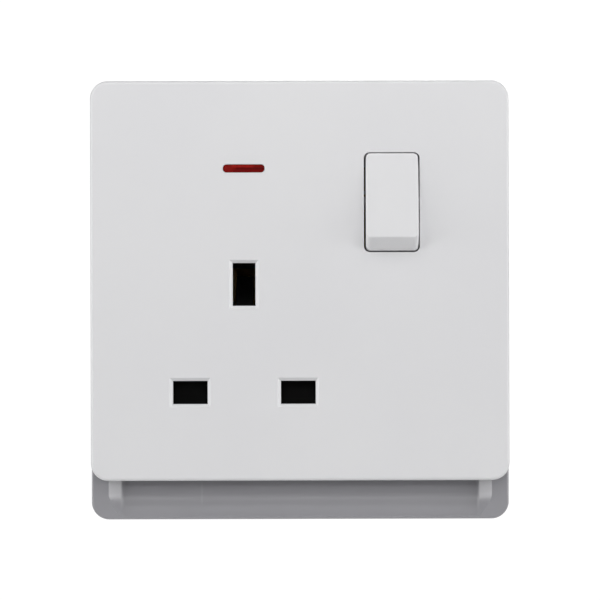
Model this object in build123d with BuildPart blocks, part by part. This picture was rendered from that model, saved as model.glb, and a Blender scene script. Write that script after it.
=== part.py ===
from build123d import *
import os
from math import atan2, cos, degrees, radians, sin, sqrt, tan

# A single-gang switched socket for flat three-pin plugs, with a neon lamp and a push-on cover.
# Millimetres. X is to the right, Z is up and Y goes into the wall. The origin is the middle of the
# plate on the wall's surface. A "height" is a distance in front of the wall, so it is minus Y.

# Plate: a white cover on a grey frame that shows below it
plate_width = 86.0
plate_height = 90.2
grey_strip = 8.1
corner_radius = 3.6
frame_depth = 5.6
cover_edge = 3.0
cover_wall = 1.8
cover_skirt = 1.6
cover_edge_round = 0.7
deck_wall = 3.0
frame_rim = 2.4
frame_edge_round = 0.4

# Finger scoop in the grey strip
scoop_land = 3.5
scoop_depth = 2.4
scoop_rise_angle = 54.0
scoop_end_slope = 42.0
scoop_foot_radius = 1.4
scoop_lip = 0.5
scoop_tuck = 1.8
scoop_wall = 1.2

# Pin apertures
pin_x = -11.45
line_rise = 18.1
pin_pitch = 22.2
earth_to_line = 22.2
earth_slot_width = 4.7
earth_slot_height = 8.8
line_slot_width = 7.15
line_slot_height = 4.8
slot_chamfer = 0.65
deck_slot_gap = 0.3
sleeve_wall = 1.0
sleeve_play = 0.1

# Rocker switch, modelled in its off position with the lower end out
switch_x = 18.92
switch_z = 20.1
window_width = 11.45
window_height = 20.5
window_radius = 1.25
rocker_gap = 0.33
rocker_side_shift = 0.06
rocker_throw = 22.0
rocker_face_length = 17.6
rocker_face_reach = 7.34
rocker_wall = 1.4
rocker_skirt = 0.8
rocker_corner_radius = 1.0
rocker_edge_round = 0.4
pivot_depth = 5.7
trunnion_radius = 1.3
trunnion_length = 1.4
bearing_play = 0.05
bearing_wall = 1.6
bearing_width = 8.0
bearing_drop = 3.1
well_gap = 0.3
well_rim = 1.2
well_play = 0.2

# Plunger and spring inside the rocker
barrel_radius = 2.6
barrel_wall = 0.9
barrel_reach = 4.2
plunger_play = 0.08
plunger_reach = 6.6
plunger_length = 6.4
plunger_nose_radius = 1.1
rocker_spring_wire = 0.4
rocker_spring_turns = 6

# Neon indicator
neon_z = 27.1
neon_width = 8.6
neon_height = 1.7
neon_radius = 0.75
lens_gap = 0.08
lens_recess = 0.1
lens_flange = 1.0
lens_flange_depth = 1.2
lamp_radius = 2.2
lamp_length = 9.5
lamp_drop = 2.3
resistor_drop = 6.5
resistor_radius = 1.15
resistor_length = 6.4
lead_radius = 0.4
lead_bend = 1.2
lead_loop = 2.2
lead_room = 1.5
neutral_joint_inset = 1.1
live_joint_drop = 5.0
cradle_lip = 0.9
cradle_play = 0.1

# Cover tabs
tab_inset = 6.5
tab_z = 24.0
tab_wall = 1.6
tab_width = 8.0
tab_tip_gap = 0.6
tab_play = 0.06
bead_radius = 0.35
bead_proud = 0.25

# Fixing slots for the wall box
fixing_pitch = 60.3
fixing_slot_width = 4.2
fixing_slot_length = 6.6
fixing_recess_width = 8.2
fixing_recess_depth = 1.6

# Shutter behind the line and neutral apertures
shutter_wall = 2.2
shutter_play = 0.2
shutter_overlap = 0.6
shutter_margin = 0.1
stem_width = 5.0
ramp_width = 3.4
ramp_depth = 5.2
ramp_back = 1.4
ramp_foot = 3.2
earth_pin_height = 8.0
rail_width = 1.2
rail_play = 0.15
rest_gap = 0.05
shutter_spring_radius = 1.7
shutter_spring_wire = 0.4
shutter_spring_turns = 8
spring_pocket = 3.7
spring_seat_gap = 0.5
spring_seat_wall = 1.4
spring_seat_width = 5.0
spring_spigot_radius = 0.9
spring_spigot_length = 1.8
spring_play = 0.1

# Rear housing, in the wall box
housing_depth = 20.0
housing_gap = 0.8
housing_side_room = 6.4
chamber_play = 0.22
bearing_room = 0.5
housing_wall = 1.6
housing_floor = 2.0
housing_corner = 2.0
lug_notch_x = 21.6
lug_notch_half = 6.6
partition = 1.2
housing_edge_round = 1.0
earth_wall_offset = 5.0
earth_wall_half = 5.5
keeper_half = 1.2

# Housing screws
screw_inset = 5.0
low_screw_room = 3.0
boss_radius = 2.5
boss_reach = 6.0
boss_play = 0.2
screw_radius = 1.4
screw_play = 0.025
screw_clearance = 0.25
screw_head_radius = 2.3
screw_head_height = 1.5
screw_head_play = 0.2
screw_bite = 5.0
driver_slot_width = 0.8
driver_slot_depth = 0.7

# Contacts and terminals
strip_wall = 0.8
strip_width = 5.0
clip_wall = 0.7
clip_throat = 3.4
clip_mouth = 5.8
clip_base = 6.2
clip_straight = 4.2
line_clip_width = 5.0
line_clip_mouth_depth = 9.9
line_clip_throat_depth = 14.4
earth_clip_width = 7.0
earth_clip_mouth_depth = 14.2
earth_clip_throat_depth = 15.8
rivet_radius = 0.9
rivet_head_radius = 1.5
rivet_head_height = 0.5
rivet_play = 0.02
terminal_inset = 6.5
bridge_offset = 4.85
terminal_width = 8.0
terminal_length = 7.0
terminal_height = 8.6
wire_radius = 2.1
wire_height = 5.6
wire_entry = 6.4
terminal_screw_radius = 1.75
terminal_head_radius = 2.6
terminal_head_height = 1.6
terminal_chamfer = 0.4
tip_clear = 0.1

# Switch contacts
blade_wall = 0.8
blade_width = 4.0
blade_half_length = 7.4
blade_swing = 12.0
blade_to_pivot = 2.4
plunger_clear = 0.06
ear_half_length = 1.7
ear_reach = 1.5
pin_radius = 0.8
pin_play = 0.05
pin_overhang = 0.3
web_wall = 1.6
web_length = 4.0
web_play = 0.2
tip_radius = 1.6
tip_wall = 0.8
tip_arm = 5.8
tip_gap = 0.05

# Heights in front of the wall
face_h = frame_depth + cover_edge
cover_inner_h = face_h - cover_wall
deck_back_h = frame_depth - deck_wall
shutter_front_h = deck_back_h - shutter_play
shutter_back_h = shutter_front_h - shutter_wall
partition_h = shutter_back_h - shutter_play
floor_h = housing_floor - housing_depth
strip_h = floor_h + strip_wall
pivot_h = face_h - pivot_depth

# Rocker sizes that the cover, frame and housing also need
rocker_tilt = rocker_throw / 2
rocker_reach_z = window_height / 2 - rocker_gap
rocker_end_radius = sqrt(pivot_depth**2 + rocker_reach_z**2)
aperture_half = rocker_end_radius + well_gap
aperture_width = window_width + 2 * well_gap

# Plate and housing limits
plate_bottom = -plate_height / 2
cover_height = plate_height - grey_strip
cover_mid_z = grey_strip / 2
cover_bottom = plate_bottom + grey_strip
bar_top = cover_bottom + scoop_tuck
recess_bottom = bar_top + scoop_wall
recess_top = plate_height / 2 - frame_rim
housing_left = pin_x - pin_pitch / 2 - housing_side_room
housing_right = switch_x + aperture_width / 2 + bearing_wall + bearing_room + housing_wall
housing_bottom = recess_bottom + housing_gap
housing_top = switch_z + aperture_half + chamber_play + housing_wall

# Places on the plate, as (right, up)
line_z = cover_bottom + line_rise
earth_z = line_z + earth_to_line
earth_at = (pin_x, earth_z)
neutral_at = (pin_x - pin_pitch / 2, line_z)
live_at = (pin_x + pin_pitch / 2, line_z)
switch_at = (switch_x, switch_z)
neon_at = (pin_x, neon_z)
resistor_at = (pin_x, neon_z - resistor_drop)
tab_x = plate_width / 2 - tab_inset
tabs_at = [(side * tab_x, end * tab_z) for side in (-1, 1) for end in (-1, 1)]
fixings_at = [(side * fixing_pitch / 2, 0) for side in (-1, 1)]
terminal_z = housing_bottom + terminal_inset
live_terminal_x = switch_x - bridge_offset
neutral_terminal_at = (neutral_at[0], terminal_z)
earth_terminal_at = (pin_x, terminal_z)
live_terminal_at = (live_terminal_x, terminal_z)
terminals_at = (neutral_terminal_at, earth_terminal_at, live_terminal_at)
neutral_clip_top = line_z + clip_base / 2 + clip_wall / 2
neutral_joint_z = (neutral_clip_top - lug_notch_half - housing_wall) / 2
neutral_joint_at = (neutral_at[0] + neutral_joint_inset, neutral_joint_z)
live_joint_at = (live_at[0], resistor_at[1] - live_joint_drop)
lead_run_x = pin_x - earth_wall_offset - partition / 2 - lead_room

# Shutter sizes that the frame also needs
pad_width = line_slot_width + 2 * (deck_slot_gap + shutter_overlap)
pad_half = line_slot_height / 2 + deck_slot_gap + shutter_overlap
shutter_travel = pad_half + line_slot_height / 2 + shutter_margin
ramp_low_z = earth_z - earth_pin_height / 2 - shutter_margin
ramp_top_z = ramp_low_z + shutter_travel
stem_top = ramp_low_z - ramp_foot
spring_seat_z = housing_bottom + housing_wall + spring_seat_gap + spring_seat_wall

# Housing screws: two near corners, one between the live clip and the live terminal
housing_screws_at = (
    (housing_left + screw_inset, housing_top - screw_inset),
    (housing_right - screw_inset, -lug_notch_half - housing_wall - screw_inset),
    (live_at[0] + pad_width / 2 + low_screw_room, housing_bottom + screw_inset),
)


def facing(height):
    """Sketch plane parallel to the wall: x to the right, y up, normal to the front."""
    return Plane.XZ.offset(height)


def side_view(at, height, tilt=0.0):
    """Sketch plane square to X through a point: x up and y to the front, both turned about X by tilt."""
    turn = radians(tilt)
    return Plane(origin=(at[0], -height, at[1]), x_dir=(0, -sin(turn), cos(turn)), z_dir=(1, 0, 0))


def block(at, size, heights, mode=Mode.ADD):
    """Rectangular block centred at a place on the plate, between two heights."""
    with BuildSketch(facing(heights[0])) as outline:
        with Locations(at):
            Rectangle(*size)
    extrude(outline.sketch, amount=heights[1] - heights[0], mode=mode)


def rounded_block(at, size, radius, heights, mode=Mode.ADD):
    """Block with rounded upright corners."""
    with BuildSketch(facing(heights[0])) as outline:
        with Locations(at):
            RectangleRounded(*size, radius)
    extrude(outline.sketch, amount=heights[1] - heights[0], mode=mode)


def post(at, radius, heights, mode=Mode.ADD):
    """Round post, or a round hole in subtract mode, between two heights."""
    with BuildSketch(facing(heights[0])) as outline:
        with Locations(at):
            Circle(radius)
    extrude(outline.sketch, amount=heights[1] - heights[0], mode=mode)


def span(low, high):
    """Middle and length of a stretch."""
    return (low + high) / 2, high - low


def wall(x_range, z_range, heights, mode=Mode.ADD):
    """Block given by its left, right, bottom and top."""
    mid_x, width = span(*x_range)
    mid_z, height = span(*z_range)
    block((mid_x, mid_z), (width, height), heights, mode)


# Front cover
cover_cavity_width = plate_width - 2 * cover_skirt
cover_cavity_height = cover_height - 2 * cover_skirt
slots = (
    (earth_at, (earth_slot_width, earth_slot_height)),
    (neutral_at, (line_slot_width, line_slot_height)),
    (live_at, (line_slot_width, line_slot_height)),
)
window_back_half = sqrt(rocker_end_radius**2 - (pivot_depth - cover_wall) ** 2) + rocker_gap
window_relief = degrees(atan2(window_back_half - window_height / 2, cover_wall))

with BuildPart() as front_cover:
    rounded_block((0, cover_mid_z), (plate_width, cover_height), corner_radius, (frame_depth, face_h))
    fillet(front_cover.faces().sort_by(Axis.Y)[0].edges(), cover_edge_round)
    rounded_block(
        (0, cover_mid_z),
        (cover_cavity_width, cover_cavity_height),
        corner_radius - cover_skirt,
        (frame_depth, cover_inner_h),
        Mode.SUBTRACT,
    )
    # Sleeves carry the pin apertures back to the frame
    for at, (width, height) in slots:
        sleeve_size = (width + 2 * sleeve_wall, height + 2 * sleeve_wall)
        block(at, sleeve_size, (frame_depth + sleeve_play, cover_inner_h))
        block(at, (width, height), (frame_depth, face_h), Mode.SUBTRACT)
    chamfer(front_cover.faces().sort_by(Axis.Y)[0].inner_wires().edges(), slot_chamfer)
    # Window for the rocker, opening out towards the back to clear its swing
    with BuildSketch(facing(face_h)):
        with Locations(switch_at):
            RectangleRounded(window_width, window_height, window_radius)
    extrude(amount=-cover_wall, taper=-window_relief, mode=Mode.SUBTRACT)
    rounded_block(neon_at, (neon_width, neon_height), neon_radius, (cover_inner_h, face_h), Mode.SUBTRACT)
    # Push-on tabs, each with a friction bead on its outer face
    tab_tip_h = deck_back_h + tab_tip_gap
    for at in tabs_at:
        outward = 1 if at[0] > 0 else -1
        block(at, (tab_wall, tab_width), (tab_tip_h, cover_inner_h))
        bead_x = at[0] + outward * (tab_wall / 2 + bead_proud - bead_radius)
        bead_h = tab_tip_h + 2 * bead_radius
        with BuildSketch(Plane.XY.offset(at[1] - tab_width / 2)):
            with Locations((bead_x, -bead_h)):
                Circle(bead_radius)
        extrude(amount=tab_width)
front_cover.part.label = "front_cover"

# Mounting frame
recess_mid, recess_height = span(recess_bottom, recess_top)
scoop_end_rise = 1.4 * scoop_depth
scoop_end_run = scoop_end_rise / tan(radians(scoop_end_slope))
scoop_end_past = (scoop_end_rise - scoop_depth) / tan(radians(scoop_end_slope))
scoop_length = plate_width - 2 * scoop_land + 2 * scoop_end_past
scoop_arc_radius = scoop_depth / (1 - cos(radians(scoop_rise_angle)))
scoop_arc_top = plate_bottom + scoop_lip + scoop_arc_radius * sin(radians(scoop_rise_angle))

with BuildPart() as scoop_cutter:
    # Hollow section: an arc that rises to the strip's lower edge, then a floor that runs under the cover
    with BuildSketch(Plane.YZ.offset(-scoop_length / 2)):
        with BuildLine():
            floor_y = scoop_depth - frame_depth
            arc_centre = (floor_y - scoop_arc_radius, scoop_arc_top)
            arc = CenterArc(arc_centre, scoop_arc_radius, 0, -scoop_rise_angle)
            rise = PolarLine(arc @ 1, 2 * scoop_depth, direction=arc % 1)
            Polyline(rise @ 1, ((rise @ 1).X, bar_top), (floor_y, bar_top), arc @ 0)
        make_face()
    extrude(amount=scoop_length)
    # Each end is a straight ramp with a rounded foot
    for side in (0, -1):
        end = scoop_cutter.faces().filter_by(Axis.X).sort_by(Axis.X)[side]
        chamfer(end.edges().filter_by(GeomType.CIRCLE), scoop_end_rise, scoop_end_run, reference=end)
        foot_x = (scoop_length / 2 - scoop_end_run) * (1 if side else -1)
        foot = scoop_cutter.edges().filter_by(lambda edge: abs(edge.center().X - foot_x) < scoop_foot_radius / 100)
        fillet(foot, scoop_foot_radius)

with BuildPart() as mounting_frame:
    rounded_block((0, 0), (plate_width, plate_height), corner_radius, (0, frame_depth))
    fillet(mounting_frame.faces().sort_by(Axis.Y)[0].edges(), frame_edge_round)
    rounded_block(
        (0, recess_mid),
        (plate_width - 2 * frame_rim, recess_height),
        corner_radius - frame_rim / 2,
        (0, deck_back_h),
        Mode.SUBTRACT,
    )
    add(scoop_cutter.part, mode=Mode.SUBTRACT)
    # Pin apertures, a little larger than the cover's
    for at, (width, height) in slots:
        deck_size = (width + 2 * deck_slot_gap, height + 2 * deck_slot_gap)
        block(at, deck_size, (deck_back_h, frame_depth), Mode.SUBTRACT)
    # Well for the rocker: a low rim in front and two bearing ears behind
    well_size = (aperture_width + 2 * well_rim, 2 * (aperture_half + well_rim))
    block(switch_at, well_size, (deck_back_h, cover_inner_h - well_play))
    ear_x = aperture_width / 2 + bearing_wall / 2
    for side in (-1, 1):
        ear_at = (switch_x + side * ear_x, switch_z)
        block(ear_at, (bearing_wall, bearing_width), (deck_back_h - bearing_drop, deck_back_h))
    aperture_size = (aperture_width, 2 * aperture_half)
    block(switch_at, aperture_size, (deck_back_h, cover_inner_h), Mode.SUBTRACT)
    bearing_radius = trunnion_radius + bearing_play
    bearing_span = aperture_width + 2 * bearing_wall
    with BuildSketch(side_view((switch_x - bearing_span / 2, switch_z), pivot_h)):
        Circle(bearing_radius)
        bearing_mouth = pivot_h - deck_back_h + bearing_drop
        with Locations((0, -bearing_mouth / 2)):
            Rectangle(2 * bearing_radius, bearing_mouth)
    extrude(amount=bearing_span, mode=Mode.SUBTRACT)
    # Lens, tab and fixing openings
    lens_hole = (neon_width + 2 * lens_gap, neon_height + 2 * lens_gap)
    rounded_block(neon_at, lens_hole, neon_radius, (deck_back_h, frame_depth), Mode.SUBTRACT)
    for at in tabs_at:
        outward = 1 if at[0] > 0 else -1
        slot_inner = tab_wall / 2 + tab_play
        slot_outer = tab_wall / 2 + bead_proud + tab_play / 2
        slot_at = (at[0] + outward * (slot_outer - slot_inner) / 2, at[1])
        tab_slot = (slot_inner + slot_outer, tab_width + 4 * tab_play)
        block(slot_at, tab_slot, (deck_back_h, frame_depth), Mode.SUBTRACT)
    with BuildSketch(facing(deck_back_h)):
        with Locations(fixings_at):
            SlotOverall(fixing_slot_length, fixing_slot_width)
    extrude(amount=deck_wall, mode=Mode.SUBTRACT)
    with BuildSketch(facing(frame_depth)):
        with Locations(fixings_at):
            recess_length = fixing_slot_length + fixing_recess_width - fixing_slot_width
            SlotOverall(recess_length, fixing_recess_width)
    extrude(amount=-fixing_recess_depth, mode=Mode.SUBTRACT)
    # Rails that guide the shutter's stem and stop its cross bar, and the seat of its spring
    rail_range = (line_z + pad_half + rest_gap, stem_top)
    for side in (-1, 1):
        rail_x = pin_x + side * (stem_width / 2 + rail_play + rail_width / 2)
        rail_sides = (rail_x - rail_width / 2, rail_x + rail_width / 2)
        wall(rail_sides, rail_range, (shutter_back_h, deck_back_h))
    spring_h = deck_back_h - spring_play - shutter_spring_radius
    seat_low_h = spring_h - shutter_spring_radius
    seat_z = spring_seat_z - spring_seat_wall / 2
    block((pin_x, seat_z), (spring_seat_width, spring_seat_wall), (seat_low_h, deck_back_h))
    with BuildSketch(Plane.XY.offset(spring_seat_z)):
        with Locations((pin_x, -spring_h)):
            Circle(spring_spigot_radius)
    extrude(amount=spring_spigot_length)
    # Bosses that take the housing screws
    boss_tip_h = deck_back_h - boss_reach
    for at in housing_screws_at:
        post(at, boss_radius, (boss_tip_h, deck_back_h))
        post(at, screw_radius + screw_play, (boss_tip_h, deck_back_h), Mode.SUBTRACT)
mounting_frame.part.label = "mounting_frame"

# Rocker, drawn square and placed at the off tilt
rocker_at = (switch_x + rocker_side_shift, switch_z)
rocker_plane = side_view(rocker_at, pivot_h, -rocker_tilt)
rocker_width = window_width - 2 * rocker_gap
bevel_angle = degrees(atan2(pivot_depth, rocker_reach_z)) - rocker_tilt
end_u = rocker_end_radius * cos(radians(bevel_angle))
end_v = rocker_end_radius * sin(radians(bevel_angle))
face_half = rocker_face_length / 2
hollow_v = rocker_face_reach - rocker_wall
hollow_half = face_half - rocker_wall / 2


def across(plane, half):
    """The side plane moved along X by half to the left, for extruding towards the right."""
    return plane.offset(-half)


with BuildPart() as rocker:
    with BuildSketch(across(rocker_plane, rocker_width / 2)):
        with BuildLine():
            right = [(end_u, -rocker_skirt), (end_u, end_v), (face_half, rocker_face_reach)]
            left = [(-u, v) for u, v in reversed(right)]
            Polyline(*right, *left, close=True)
        make_face()
    extrude(amount=rocker_width)
    end_edges = rocker.faces().filter_by(Axis.X).edges()
    front_edges = end_edges.filter_by(GeomType.LINE).filter_by(
        lambda edge: rocker_plane.to_local_coords(edge.center()).Y > 0
    )
    end_corners = front_edges.filter_by(lambda edge: edge.length < face_half)
    fillet(end_corners, rocker_corner_radius)
    fillet(rocker.faces().filter_by(GeomType.PLANE).sort_by(
        lambda face: rocker_plane.to_local_coords(face.center()).Y)[-1].edges(), rocker_edge_round)
    # Hollow from behind, with a barrel for the plunger
    with BuildSketch(across(rocker_plane, rocker_width / 2 - rocker_wall)):
        hollow_height = hollow_v + rocker_skirt
        with Locations((0, hollow_v - hollow_height / 2)):
            Rectangle(2 * hollow_half, hollow_height)
    extrude(amount=rocker_width - 2 * rocker_wall, mode=Mode.SUBTRACT)
    barrel_plane = Plane(rocker_plane.origin, x_dir=(1, 0, 0), z_dir=rocker_plane.y_dir)
    with BuildSketch(barrel_plane.offset(-barrel_reach)):
        Circle(barrel_radius)
    extrude(amount=barrel_reach + hollow_v)
    with BuildSketch(barrel_plane.offset(-barrel_reach)):
        Circle(barrel_radius - barrel_wall)
    extrude(amount=barrel_reach + hollow_v, mode=Mode.SUBTRACT)
    # Trunnions
    for side in (-1, 1):
        with BuildSketch(rocker_plane.offset(side * rocker_width / 2)):
            Circle(trunnion_radius)
        extrude(amount=side * trunnion_length)
rocker.part.label = "rocker"

# Plunger: a round pin with a domed nose that rides on the switch blade
plunger_radius = barrel_radius - barrel_wall - plunger_play
plunger_top_v = plunger_length - plunger_reach
with BuildPart() as rocker_plunger:
    with BuildSketch(barrel_plane.offset(-plunger_reach + plunger_nose_radius)):
        Circle(plunger_nose_radius)
    extrude(amount=plunger_reach - plunger_nose_radius - barrel_reach)
    with BuildSketch(barrel_plane.offset(-barrel_reach)):
        Circle(plunger_radius)
    extrude(amount=barrel_reach + plunger_top_v)
    with Locations(barrel_plane.offset(-plunger_reach + plunger_nose_radius)):
        Sphere(plunger_nose_radius)
rocker_plunger.part.label = "rocker_plunger"


def coil_spring(plane, radius, wire, length, turns):
    """Open coil spring of a given outer radius that stands on a plane."""
    with BuildPart() as spring:
        with BuildLine():
            start = plane.offset(wire / 2).origin
            turn = Helix((length - wire) / turns, length - wire, radius - wire / 2, start, plane.z_dir)
        with BuildSketch(Plane(turn @ 0, z_dir=turn % 0)):
            Circle(wire / 2)
        sweep(path=turn, is_frenet=True)
    return spring.part


rocker_spring = coil_spring(
    barrel_plane.offset(plunger_top_v),
    plunger_radius,
    rocker_spring_wire,
    hollow_v - plunger_top_v,
    rocker_spring_turns,
)
rocker_spring.label = "rocker_spring"

# Shutter: two pads on a cross bar, and a stem whose ramp the earth pin pushes down
with BuildPart() as shutter:
    block((pin_x, line_z), (pin_pitch + pad_width, 2 * pad_half), (shutter_back_h, shutter_front_h))
    wall(
        (pin_x - stem_width / 2, pin_x + stem_width / 2),
        (line_z, ramp_low_z),
        (shutter_back_h, shutter_front_h),
    )
    with BuildSketch(Plane.YZ.offset(pin_x - ramp_width / 2)):
        Polygon(
            (-shutter_front_h, ramp_low_z),
            (ramp_depth - shutter_front_h, ramp_top_z),
            (ramp_depth + ramp_back - shutter_front_h, ramp_top_z),
            (ramp_depth + ramp_back - shutter_front_h, stem_top),
            (-shutter_front_h, stem_top),
            align=None,
        )
    extrude(amount=ramp_width)
    pocket_top = line_z - pad_half + spring_pocket
    wall(
        (pin_x - shutter_spring_radius - rail_play, pin_x + shutter_spring_radius + rail_play),
        (line_z - pad_half, pocket_top),
        (shutter_back_h, shutter_front_h),
        Mode.SUBTRACT,
    )
shutter.part.label = "shutter"

shutter_spring = coil_spring(
    Plane((pin_x, -spring_h, spring_seat_z), z_dir=(0, 0, 1)),
    shutter_spring_radius,
    shutter_spring_wire,
    pocket_top - spring_seat_z,
    shutter_spring_turns,
)
shutter_spring.label = "shutter_spring"

# Neon lens, lamp, resistor and their leads
lamp_h = deck_back_h - lens_flange_depth - lamp_drop - lamp_radius / 2
with BuildPart() as neon_lens:
    lens_size = (neon_width - 2 * lens_gap, neon_height - 2 * lens_gap)
    rounded_block(neon_at, lens_size, neon_radius - lens_gap, (deck_back_h, face_h - lens_recess))
    flange_size = (neon_width + 2 * lens_flange, neon_height + 2 * lens_flange)
    rounded_block(neon_at, flange_size, neon_radius, (deck_back_h - lens_flange_depth, deck_back_h))
neon_lens.part.label = "neon_lens"


def along_x(at, height, radius, length):
    """Round bar along X, centred on a place and height."""
    with BuildSketch(side_view((at[0] - length / 2, at[1]), height)) as outline:
        Circle(radius)
    extrude(outline.sketch, amount=length)


with BuildPart() as neon_lamp:
    along_x(neon_at, lamp_h, lamp_radius, lamp_length)
    fillet(neon_lamp.edges(), 0.9 * lamp_radius)
neon_lamp.part.label = "neon_lamp"

with BuildPart() as neon_resistor:
    along_x(resistor_at, lamp_h, resistor_radius, resistor_length)
    fillet(neon_resistor.edges(), 0.4 * resistor_radius)
neon_resistor.part.label = "neon_resistor"


def lead(*places):
    """Round wire through (right, up, height) places, with bent corners."""
    with BuildPart() as wire:
        with BuildLine():
            run = FilletPolyline(*[(x, -h, z) for x, z, h in places], radius=lead_bend)
        with BuildSketch(Plane(run @ 0, z_dir=run % 0)):
            Circle(lead_radius)
        sweep(path=run)
    return wire.part


lamp_left = neon_at[0] - lamp_length / 2
lamp_right = neon_at[0] + lamp_length / 2
resistor_left = resistor_at[0] - resistor_length / 2
resistor_right = resistor_at[0] + resistor_length / 2
neon_lead_neutral = lead(
    (lamp_left, neon_z, lamp_h),
    (lead_run_x, neon_z, lamp_h),
    (lead_run_x, neutral_joint_at[1], lamp_h),
    (*neutral_joint_at, lamp_h),
    (*neutral_joint_at, strip_h),
)
neon_lead_neutral.label = "neon_lead_neutral"
neon_lead_link = lead(
    (lamp_right, neon_z, lamp_h),
    (lamp_right + lead_loop, neon_z, lamp_h),
    (lamp_right + lead_loop, resistor_at[1], lamp_h),
    (resistor_right, resistor_at[1], lamp_h),
)
neon_lead_link.label = "neon_lead_link"
neon_lead_live = lead(
    (resistor_left, resistor_at[1], lamp_h),
    (resistor_left - lead_loop, resistor_at[1], lamp_h),
    (resistor_left - lead_loop, live_joint_at[1], lamp_h),
    (*live_joint_at, lamp_h),
    (*live_joint_at, strip_h),
)
neon_lead_live.label = "neon_lead_live"

# Rear housing
housing_mid_x, housing_width = span(housing_left, housing_right)
housing_mid_z, housing_height = span(housing_bottom, housing_top)
inner_bottom = housing_bottom + housing_wall
inner_top = housing_top - housing_wall
inner_right = housing_right - housing_wall
boss_gap_h = boss_tip_h - boss_play
head_seat_h = screw_head_height + screw_head_play - housing_depth
wire_h = strip_h + wire_height
terminal_hole_radius = terminal_head_radius + screw_clearance
chamber_left = switch_x - aperture_width / 2 - bearing_wall - partition
strip_gap_h = strip_h + strip_wall
contact_z = switch_z + tip_arm


def housing_outline(inset):
    """Housing outline with notches for the wall box's lugs, drawn inside by an inset."""
    with BuildSketch(facing(-housing_depth)) as outline:
        with Locations((housing_mid_x, housing_mid_z)):
            RectangleRounded(housing_width, housing_height, housing_corner)
        for edge, side in ((housing_left, -1), (housing_right, 1)):
            notch_depth = abs(edge) - lug_notch_x
            with Locations((side * (lug_notch_x + notch_depth / 2), 0)):
                Rectangle(notch_depth, 2 * lug_notch_half, mode=Mode.SUBTRACT)
        if inset > 0:
            offset(amount=-inset, kind=Kind.INTERSECTION, mode=Mode.REPLACE)
    return outline.sketch


with BuildPart() as rear_housing:
    extrude(housing_outline(0), amount=housing_depth + deck_back_h)
    fillet(rear_housing.faces().sort_by(Axis.Y)[-1].outer_wire().edges(), housing_edge_round)
    cavity = housing_outline(housing_wall).moved(Location((0, -housing_floor, 0)))
    extrude(cavity, amount=deck_back_h - floor_h, mode=Mode.SUBTRACT)
    # Partitions between the terminals, beside the earth clip and round the switch
    for x in (neutral_at[0] + pin_pitch / 4, live_at[0] - pin_pitch / 4):
        half = partition / 2
        wall((x - half, x + half), (inner_bottom, line_z + strip_width), (floor_h, partition_h))
    for side in (-1, 1):
        x = pin_x + side * earth_wall_offset
        low, high = earth_z - earth_wall_half, earth_z + earth_wall_half
        wall((x - partition / 2, x + partition / 2), (low, high), (floor_h, partition_h))
    switch_low = lug_notch_half
    wall((chamber_left - partition, chamber_left), (switch_low, inner_top), (floor_h, partition_h))
    bridge_wall = (switch_low, switch_low + partition)
    wall((chamber_left - partition, lug_notch_x), bridge_wall, (floor_h, partition_h))
    # Ways through the partitions for the strips
    live_way = (contact_z - strip_width / 2 - strip_wall, contact_z + strip_width / 2 + strip_wall)
    wall((chamber_left - 2 * partition, chamber_left), live_way, (floor_h, strip_gap_h), Mode.SUBTRACT)
    bridge_half = strip_width / 2 + strip_wall
    bridge_way = (live_terminal_x - bridge_half, live_terminal_x + bridge_half)
    wall(bridge_way, bridge_wall, (floor_h, strip_gap_h), Mode.SUBTRACT)
    # Keepers behind the rocker's trunnions
    keeper_top_h = pivot_h - trunnion_radius - bearing_play
    keeper_z = (switch_z - keeper_half, switch_z + keeper_half)
    keeper_left = switch_x - aperture_width / 2
    keeper_right = switch_x + aperture_width / 2
    wall((chamber_left - partition, keeper_left), keeper_z, (strip_gap_h, keeper_top_h))
    wall((keeper_right, inner_right + housing_wall / 2), keeper_z, (strip_gap_h, keeper_top_h))
    # Cradles for the lamp and its resistor
    cradles = ((neon_at, lamp_radius, lamp_length), (resistor_at, resistor_radius, resistor_length))
    for at, radius, length in cradles:
        for side in (-1, 1):
            rib_at = (at[0] + side * length / 4, at[1])
            block(rib_at, (partition, 2 * (radius + cradle_lip)), (floor_h, lamp_h))
        with BuildSketch(side_view((at[0] - length / 2, at[1]), lamp_h)) as seat:
            Circle(radius + cradle_play)
        extrude(seat.sketch, amount=length, mode=Mode.SUBTRACT)
    # Posts for the housing screws
    for at in housing_screws_at:
        post(at, boss_radius, (floor_h, boss_gap_h))
        post(at, screw_radius + screw_clearance, (-housing_depth, boss_gap_h), Mode.SUBTRACT)
        post(at, screw_head_radius + screw_head_play, (-housing_depth, head_seat_h), Mode.SUBTRACT)
    # Wire entries below and screwdriver holes behind the terminals
    for at in terminals_at:
        post(at, terminal_hole_radius, (-housing_depth, floor_h), Mode.SUBTRACT)
        entry_h = (wire_h - wire_entry / 2, wire_h + wire_entry / 2)
        wall(
            (at[0] - wire_entry / 2, at[0] + wire_entry / 2),
            (housing_bottom, inner_bottom),
            entry_h,
            Mode.SUBTRACT,
        )
rear_housing.part.label = "rear_housing"

# Housing screws
with BuildPart() as housing_screws:
    for at in housing_screws_at:
        post(at, screw_head_radius, (head_seat_h - screw_head_height, head_seat_h))
        post(at, screw_radius, (head_seat_h, boss_tip_h + screw_bite))
        slot_h = head_seat_h - screw_head_height
        slot_size = (2 * screw_head_radius, driver_slot_width)
        block(at, slot_size, (slot_h, slot_h + driver_slot_depth), Mode.SUBTRACT)
housing_screws.part.label = "housing_screws"


def strip_holes(rivet_at, screw_at):
    """Rivet hole under a clip and screw hole under a terminal."""
    if rivet_at:
        post(rivet_at, rivet_radius + rivet_play, (floor_h, strip_h), Mode.SUBTRACT)
    if screw_at:
        post(screw_at, terminal_screw_radius + screw_clearance, (floor_h, strip_h), Mode.SUBTRACT)


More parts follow.
